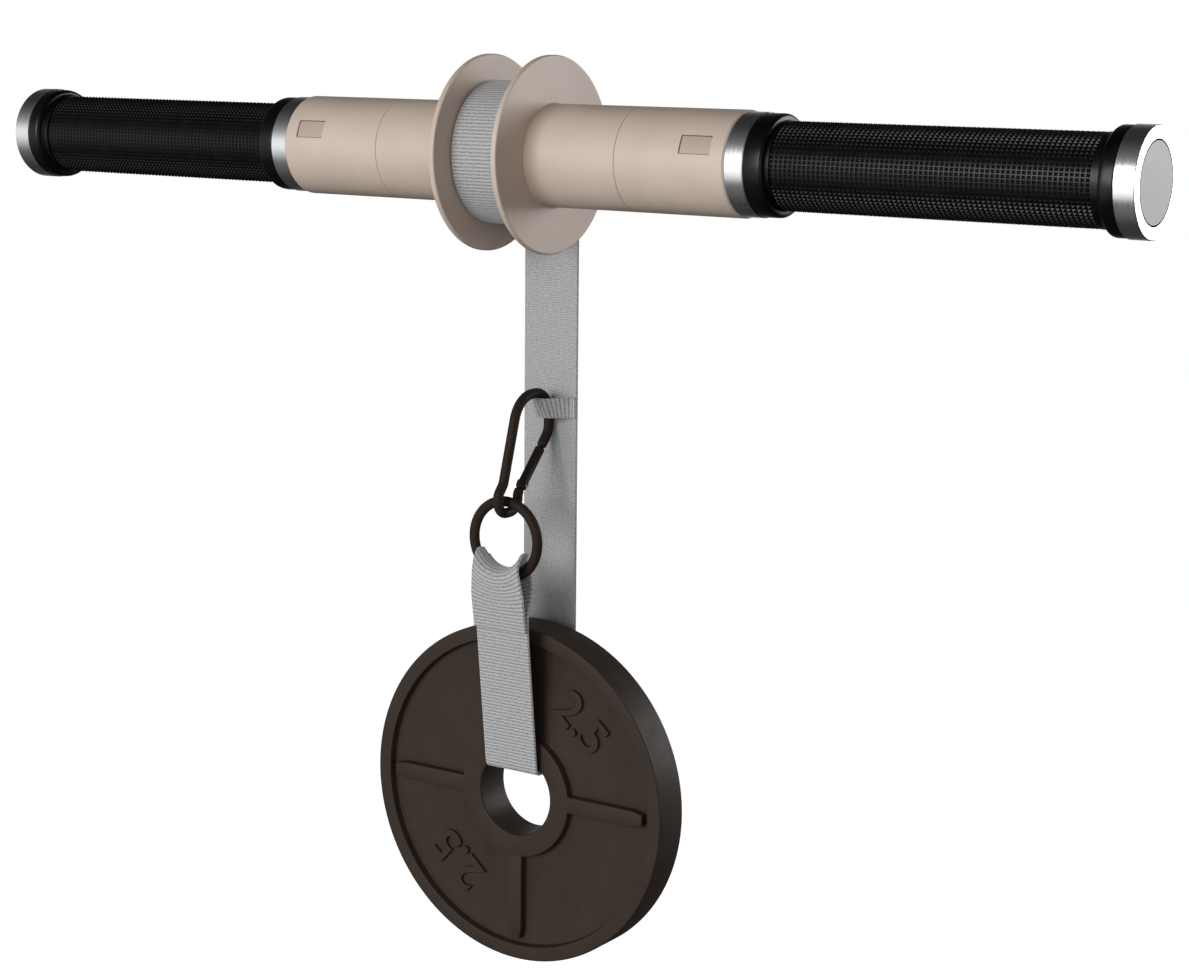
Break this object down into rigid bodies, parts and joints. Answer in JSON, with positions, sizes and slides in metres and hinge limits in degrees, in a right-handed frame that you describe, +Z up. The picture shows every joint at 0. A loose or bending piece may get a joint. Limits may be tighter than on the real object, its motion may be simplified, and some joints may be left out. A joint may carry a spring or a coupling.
{
  "type": "wrist roller",
  "caption": "Wrist roller: a bar with two knurled grips winds a webbing strap that lifts a small weight plate on a snap hook.",
  "frame": {"origin": "on the bar's axis, at the middle of the spool", "axes": "+X along the bar to the right, +Z up against the hanging weight, -Y towards the latch buttons"},
  "size_m": [0.5062, 0.0744, 0.357],
  "materials": {
    "tan_plastic": "satin moulded",
    "button_plastic": "satin moulded",
    "black_rubber": "knurled",
    "black_plastic": "moulded",
    "polished_metal": "polished",
    "spring_steel": "bright",
    "grey_disc": "satin",
    "webbing": "woven",
    "dark_metal": "powder coated",
    "plate_iron": "painted"
  },
  "bodies": {
    "strap_roll": {"strap_core": "webbing", "strap_winding": "webbing", "strap_drop": "webbing"},
    "roller": {"spool_shaft": "spring_steel", "left_spool_half": "tan_plastic", "right_spool_half": "tan_plastic", "strap_anchor_pin": "spring_steel", "left_sleeve": "tan_plastic", "right_sleeve": "tan_plastic", "left_latch_spring": "spring_steel", "right_latch_spring": "spring_steel", "left_handle_core": "black_plastic", "right_handle_core": "black_plastic", "left_grip_liner": "black_plastic", "right_grip_liner": "black_plastic", "left_grip": "black_rubber", "right_grip": "black_rubber", "left_inner_ring": "polished_metal", "right_inner_ring": "polished_metal", "left_end_ring": "polished_metal", "right_end_ring": "polished_metal", "lock_screws": "spring_steel", "left_end_plug": "grey_disc", "right_end_plug": "grey_disc"},
    "left_button": {"left_latch_button": "button_plastic"},
    "right_button": {"right_latch_button": "button_plastic"},
    "strap_end": {"strap_tail": "webbing", "strap_band": "webbing"},
    "snap_hook": {"hook_body": "dark_metal"},
    "gate": {"hook_gate": "dark_metal", "gate_rivet": "spring_steel", "gate_spring": "spring_steel"},
    "ring": {"load_ring": "dark_metal"},
    "loop": {"loop_strap": "webbing"},
    "plate": {"weight_plate": "plate_iron"}
  },
  "joints": [
    {"name": "roller_turn", "type": "hinge", "parent": "strap_roll", "child": "roller", "pos_m": [0, 0, 0], "axis": [1, 0, 0], "range_deg": [-1650, 105]},
    {"name": "left_button_press", "type": "slide", "parent": "roller", "child": "left_button", "axis": [0, 0.9272, -0.3746], "range_m": [0, 0.002], "stiffness_N_per_m": 700, "springref_m": -0.002, "deforming": ["left_latch_spring"]},
    {"name": "right_button_press", "type": "slide", "parent": "roller", "child": "right_button", "axis": [0, 0.9272, -0.3746], "range_m": [0, 0.002], "stiffness_N_per_m": 700, "springref_m": -0.002, "deforming": ["right_latch_spring"]},
    {"name": "strap_lift", "type": "slide", "parent": "strap_roll", "child": "strap_end", "axis": [0, 0, 1], "range_m": [-0.692, 0.0445], "deforming": ["strap_drop"]},
    {"name": "hook_swing", "type": "hinge", "parent": "strap_end", "child": "snap_hook", "pos_m": [0.001, 0.01815, -0.0986], "axis": [1, 0, 0], "range_deg": [-10, 0]},
    {"name": "gate_open", "type": "hinge", "parent": "snap_hook", "child": "gate", "pos_m": [0.001, 0.0004, -0.12735], "axis": [1, 0, 0], "range_deg": [0, 28], "stiffness_Nm_per_rad": 0.03, "springref_deg": -28.65},
    {"name": "ring_swing", "type": "hinge", "parent": "snap_hook", "child": "ring", "pos_m": [0, -0.00875, -0.13255], "axis": [1, 0, 0], "range_deg": [-12, 2]},
    {"name": "loop_slip", "type": "hinge", "parent": "ring", "child": "loop", "pos_m": [0, -0.00875, -0.14755], "axis": [0, 1, 0], "range_deg": [-6, 6]},
    {"name": "plate_spin", "type": "hinge", "parent": "loop", "child": "plate", "pos_m": [0, 0.00575, -0.25145], "axis": [0, 1, 0], "continuous": true}
  ],
  "couplings": [
    {"joint": "strap_lift", "follows": "roller_turn", "m_per_rad": 0.024}
  ]
}
